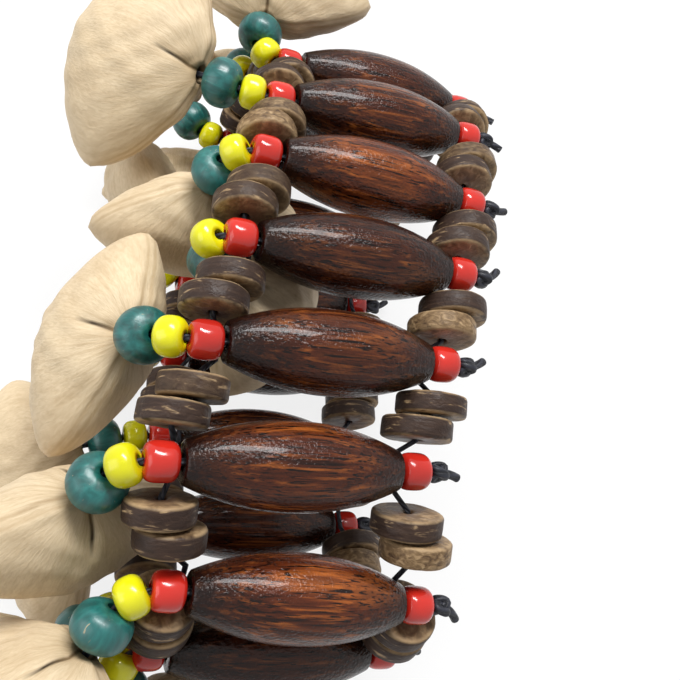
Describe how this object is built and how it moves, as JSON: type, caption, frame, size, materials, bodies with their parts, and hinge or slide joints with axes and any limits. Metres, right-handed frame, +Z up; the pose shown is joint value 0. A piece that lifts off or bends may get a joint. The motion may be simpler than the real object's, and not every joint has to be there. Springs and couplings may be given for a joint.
{
  "type": "nutshell shaker bracelet",
  "caption": "Stretchy band of oval wooden bead rows between rings of coconut discs, each row ending in a hollow nutshell that swings and knocks on its neighbours as a shaker.",
  "frame": {"origin": "on the floor, under the middle of the bracelet's box", "axes": "+Z up, +X towards the knotted side, +Y along the oval, away from the picture's camera"},
  "size_m": [0.0884, 0.1499, 0.0615],
  "materials": {
    "stained_wood": "dark stained and lacquered",
    "bead_red": "glossy opaque beads, red, yellow and green, on a dark waxed cord",
    "coconut": "satin coconut shell with pale edges, on black elastic",
    "nutshell": "bare dry nutshell"
  },
  "bodies": {
    "band": {"beaded_cord_01": "bead_red", "beaded_cord_02": "bead_red", "beaded_cord_03": "bead_red", "beaded_cord_04": "bead_red", "beaded_cord_05": "bead_red", "beaded_cord_06": "bead_red", "beaded_cord_07": "bead_red", "beaded_cord_08": "bead_red", "beaded_cord_09": "bead_red", "beaded_cord_10": "bead_red", "beaded_cord_11": "bead_red", "beaded_cord_12": "bead_red", "beaded_cord_13": "bead_red", "beaded_cord_14": "bead_red", "beaded_cord_15": "bead_red", "beaded_cord_16": "bead_red", "disc_string_shell_side": "coconut", "disc_string_knot_side": "coconut"},
    "barrel_01": {"barrel_bead_01": "stained_wood"},
    "barrel_02": {"barrel_bead_02": "stained_wood"},
    "barrel_03": {"barrel_bead_03": "stained_wood"},
    "barrel_04": {"barrel_bead_04": "stained_wood"},
    "barrel_05": {"barrel_bead_05": "stained_wood"},
    "barrel_06": {"barrel_bead_06": "stained_wood"},
    "barrel_07": {"barrel_bead_07": "stained_wood"},
    "barrel_08": {"barrel_bead_08": "stained_wood"},
    "barrel_09": {"barrel_bead_09": "stained_wood"},
    "barrel_10": {"barrel_bead_10": "stained_wood"},
    "barrel_11": {"barrel_bead_11": "stained_wood"},
    "barrel_12": {"barrel_bead_12": "stained_wood"},
    "barrel_13": {"barrel_bead_13": "stained_wood"},
    "barrel_14": {"barrel_bead_14": "stained_wood"},
    "barrel_15": {"barrel_bead_15": "stained_wood"},
    "barrel_16": {"barrel_bead_16": "stained_wood"},
    "shell_01": {"nutshell_01": "nutshell"},
    "shell_02": {"nutshell_02": "nutshell"},
    "shell_03": {"nutshell_03": "nutshell"},
    "shell_04": {"nutshell_04": "nutshell"},
    "shell_05": {"nutshell_05": "nutshell"},
    "shell_06": {"nutshell_06": "nutshell"},
    "shell_07": {"nutshell_07": "nutshell"},
    "shell_08": {"nutshell_08": "nutshell"},
    "shell_09": {"nutshell_09": "nutshell"},
    "shell_10": {"nutshell_10": "nutshell"},
    "shell_11": {"nutshell_11": "nutshell"},
    "shell_12": {"nutshell_12": "nutshell"},
    "shell_13": {"nutshell_13": "nutshell"},
    "shell_14": {"nutshell_14": "nutshell"},
    "shell_15": {"nutshell_15": "nutshell"},
    "shell_16": {"nutshell_16": "nutshell"}
  },
  "joints": [
    {"name": "barrel_01_spin", "type": "hinge", "parent": "band", "child": "barrel_01", "pos_m": [0.01976, 0.04603, 0.03724], "axis": [0.9354, 0.0958, -0.3404], "continuous": true},
    {"name": "barrel_02_spin", "type": "hinge", "parent": "band", "child": "barrel_02", "pos_m": [0.019, 0.03171, 0.04539], "axis": [0.9305, 0.1392, -0.3387], "continuous": true},
    {"name": "barrel_03_spin", "type": "hinge", "parent": "band", "child": "barrel_03", "pos_m": [0.01789, 0.01591, 0.04965], "axis": [0.9384, 0.0523, -0.3416], "continuous": true},
    {"name": "barrel_04_spin", "type": "hinge", "parent": "band", "child": "barrel_04", "pos_m": [0.01543, 0.0006, 0.05166], "axis": [0.9354, 0.0958, -0.3404], "continuous": true},
    {"name": "barrel_05_spin", "type": "hinge", "parent": "band", "child": "barrel_05", "pos_m": [0.01225, -0.01482, 0.05169], "axis": [0.9346, 0.1045, -0.3401], "continuous": true},
    {"name": "barrel_06_spin", "type": "hinge", "parent": "band", "child": "barrel_06", "pos_m": [0.00821, -0.03033, 0.04938], "axis": [0.9346, 0.1045, -0.3401], "continuous": true},
    {"name": "barrel_07_spin", "type": "hinge", "parent": "band", "child": "barrel_07", "pos_m": [0.00966, -0.04563, 0.0402], "axis": [0.9394, 0.0262, -0.3419], "continuous": true},
    {"name": "barrel_08_spin", "type": "hinge", "parent": "band", "child": "barrel_08", "pos_m": [0.00628, -0.05137, 0.02799], "axis": [0.9384, 0.0523, -0.3416], "continuous": true},
    {"name": "barrel_09_spin", "type": "hinge", "parent": "band", "child": "barrel_09", "pos_m": [0.00268, -0.04395, 0.01664], "axis": [0.9368, 0.0785, -0.341], "continuous": true},
    {"name": "barrel_10_spin", "type": "hinge", "parent": "band", "child": "barrel_10", "pos_m": [0.00153, -0.03017, 0.01202], "axis": [0.9354, 0.0958, -0.3404], "continuous": true},
    {"name": "barrel_11_spin", "type": "hinge", "parent": "band", "child": "barrel_11", "pos_m": [0.00142, -0.01477, 0.01024], "axis": [0.9354, 0.0958, -0.3404], "continuous": true},
    {"name": "barrel_12_spin", "type": "hinge", "parent": "band", "child": "barrel_12", "pos_m": [0.00179, 0.00116, 0.0098], "axis": [0.9354, 0.0958, -0.3404], "continuous": true},
    {"name": "barrel_13_spin", "type": "hinge", "parent": "band", "child": "barrel_13", "pos_m": [0.00283, 0.0161, 0.00973], "axis": [0.9354, 0.0958, -0.3404], "continuous": true},
    {"name": "barrel_14_spin", "type": "hinge", "parent": "band", "child": "barrel_14", "pos_m": [0.0053, 0.03146, 0.01067], "axis": [0.9354, 0.0958, -0.3404], "continuous": true},
    {"name": "barrel_15_spin", "type": "hinge", "parent": "band", "child": "barrel_15", "pos_m": [0.00894, 0.04586, 0.01483], "axis": [0.9354, 0.0958, -0.3404], "continuous": true},
    {"name": "barrel_16_spin", "type": "hinge", "parent": "band", "child": "barrel_16", "pos_m": [0.01474, 0.0526, 0.02637], "axis": [0.9354, 0.0958, -0.3404], "continuous": true},
    {"name": "shell_01_swing", "type": "hinge", "parent": "band", "child": "shell_01", "pos_m": [-0.00122, 0.05421, 0.04362], "axis": [-0.9848, 0.1736, 0], "range_deg": [-25, 0]},
    {"name": "shell_02_swing", "type": "hinge", "parent": "band", "child": "shell_02", "pos_m": [-0.01046, 0.03165, 0.05297], "axis": [-0.3214, -0.883, -0.342], "range_deg": [-35, 0]},
    {"name": "shell_03_swing", "type": "hinge", "parent": "band", "child": "shell_03", "pos_m": [-0.00687, 0.0137, 0.0478], "axis": [0.933, 0.25, -0.2588], "range_deg": [-8, 4]},
    {"name": "shell_04_swing", "type": "hinge", "parent": "band", "child": "shell_04", "pos_m": [-0.00248, -0.00224, 0.04902], "axis": [0.342, 0.9397, 0], "range_deg": [-6, 0]},
    {"name": "shell_05_swing", "type": "hinge", "parent": "band", "child": "shell_05", "pos_m": [-0.01493, -0.01432, 0.05216], "axis": [-0.269, -0.9538, -0.1336], "range_deg": [-25, 0]},
    {"name": "shell_06_swing", "type": "hinge", "parent": "band", "child": "shell_06", "pos_m": [-0.01797, -0.03546, 0.04897], "axis": [0.7488, 0.3981, -0.5299], "range_deg": [0, 7]},
    {"name": "shell_07_swing", "type": "hinge", "parent": "band", "child": "shell_07", "pos_m": [-0.01628, -0.05383, 0.04403], "axis": [0.6443, -0.616, 0.4532], "range_deg": [-18, 0]},
    {"name": "shell_08_swing", "type": "hinge", "parent": "band", "child": "shell_08", "pos_m": [-0.01215, -0.05937, 0.02742], "axis": [0.766, 0.6428, 0], "range_deg": [-25, 0]},
    {"name": "shell_09_swing", "type": "hinge", "parent": "band", "child": "shell_09", "pos_m": [-0.0249, -0.05204, 0.02195], "axis": [0.7071, -0.7071, 0], "range_deg": [-25, 0]},
    {"name": "shell_10_swing", "type": "hinge", "parent": "band", "child": "shell_10", "pos_m": [-0.02655, -0.03489, 0.01374], "axis": [0.342, -0.9397, 0], "range_deg": [0, 15]},
    {"name": "shell_11_swing", "type": "hinge", "parent": "band", "child": "shell_11", "pos_m": [-0.02783, -0.01993, 0.0194], "axis": [0.342, -0.9397, 0], "range_deg": [-25, 0]},
    {"name": "shell_12_swing", "type": "hinge", "parent": "band", "child": "shell_12", "pos_m": [-0.02706, -0.00032, 0.01218], "axis": [-0.0872, -0.9962, 0], "range_deg": [0, 15]},
    {"name": "shell_13_swing", "type": "hinge", "parent": "band", "child": "shell_13", "pos_m": [-0.02073, 0.02168, 0.02289], "axis": [-0.3247, 0.5407, -0.776], "range_deg": [-20, 0]},
    {"name": "shell_14_swing", "type": "hinge", "parent": "band", "child": "shell_14", "pos_m": [-0.01935, 0.03719, 0.01292], "axis": [-0.9397, -0.342, 0], "range_deg": [0, 15]},
    {"name": "shell_15_swing", "type": "hinge", "parent": "band", "child": "shell_15", "pos_m": [-0.01854, 0.05051, 0.02322], "axis": [-0.7431, -0.6691, 0], "range_deg": [-20, 0]},
    {"name": "shell_16_swing", "type": "hinge", "parent": "band", "child": "shell_16", "pos_m": [-0.00481, 0.05761, 0.02577], "axis": [-0.866, 0.5, 0], "range_deg": [-25, 0]}
  ]
}
